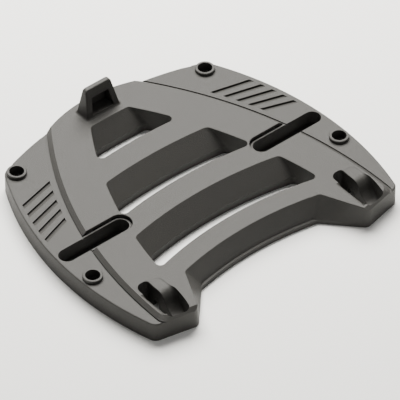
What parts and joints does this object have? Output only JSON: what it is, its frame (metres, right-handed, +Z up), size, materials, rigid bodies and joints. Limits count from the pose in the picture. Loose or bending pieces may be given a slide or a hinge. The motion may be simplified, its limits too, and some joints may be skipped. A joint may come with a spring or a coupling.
{
  "type": "top case mounting plate",
  "caption": "Moulded mounting plate for a motorbike top case: raised centre panel with arc openings, louvred wings, bolt bosses, long slots, front hooks and a rear catch block.",
  "frame": {"origin": "centre of the bounding box, at the height of the face that the plate rests on", "axes": "+X across the plate, +Y towards the rear catch block with the two hooks at the front, +Z up"},
  "size_m": [0.334, 0.298, 0.0545],
  "materials": {
    "nylon": "fine grained, dark grey"
  },
  "bodies": {
    "root": {"mounting_plate": "nylon"}
  },
  "joints": []
}
